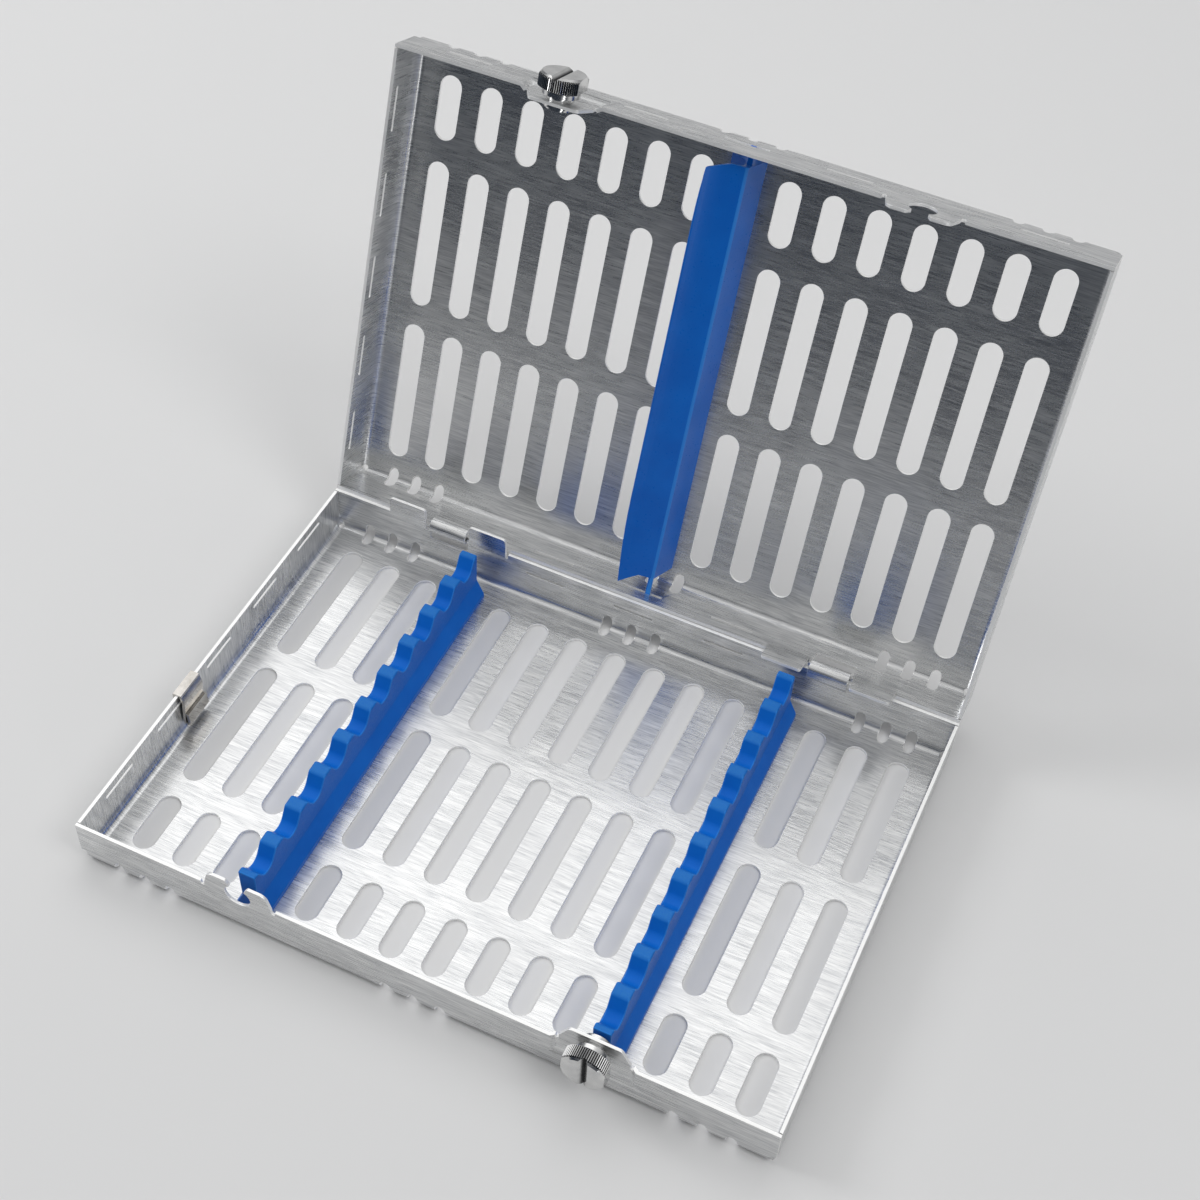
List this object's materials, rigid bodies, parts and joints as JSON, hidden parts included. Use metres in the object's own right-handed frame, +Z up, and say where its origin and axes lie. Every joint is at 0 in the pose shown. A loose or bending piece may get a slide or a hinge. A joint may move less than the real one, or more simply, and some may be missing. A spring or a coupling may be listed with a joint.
{
  "type": "dental instrument cassette",
  "caption": "Open perforated steel instrument cassette: hinged lid and base tray, soft scalloped rails, a hold-down rail in the lid and quarter-turn latches.",
  "frame": {"origin": "middle of the underside of the base tray", "axes": "+Z up out of the base, +Y towards the hinge, +X along the hinge to the right seen from the latches"},
  "size_m": [0.2047, 0.2077, 0.155],
  "materials": {
    "tray_sheet": "brushed along X",
    "latch_steel": "turned and polished, knurled edge",
    "spring_strip": "polished bent strip",
    "blue_silicone": "satin silicone"
  },
  "bodies": {
    "base": {"base_shell": "tray_sheet", "base_rail_left": "blue_silicone", "base_rail_right": "blue_silicone"},
    "lid": {"lid_shell": "tray_sheet", "lid_rail": "blue_silicone"},
    "base_latch": {"base_knob": "latch_steel", "base_stem": "latch_steel", "base_washer": "latch_steel", "base_retaining_ring": "latch_steel"},
    "lid_latch": {"lid_knob": "latch_steel", "lid_stem": "latch_steel", "lid_washer": "latch_steel", "lid_retaining_ring": "latch_steel"},
    "clip": {"accessory_clip": "spring_strip"}
  },
  "joints": [
    {"name": "lid_hinge", "type": "hinge", "parent": "base", "child": "lid", "pos_m": [0, 0.06985, 0.01588], "axis": [1, 0, 0], "range_deg": [0, 110]},
    {"name": "base_latch_turn", "type": "hinge", "parent": "base", "child": "base_latch", "pos_m": [0.0512, -0.06985, 0.01588], "axis": [0, -1, 0], "range_deg": [0, 90]},
    {"name": "lid_latch_turn", "type": "hinge", "parent": "lid", "child": "lid_latch", "pos_m": [-0.0512, 0.11763, 0.14715], "axis": [0, 0.342, 0.9397], "range_deg": [0, 90]},
    {"name": "clip_slide", "type": "slide", "parent": "base", "child": "clip", "axis": [0, 1, 0], "range_m": [-0.045, 0.077]}
  ]
}
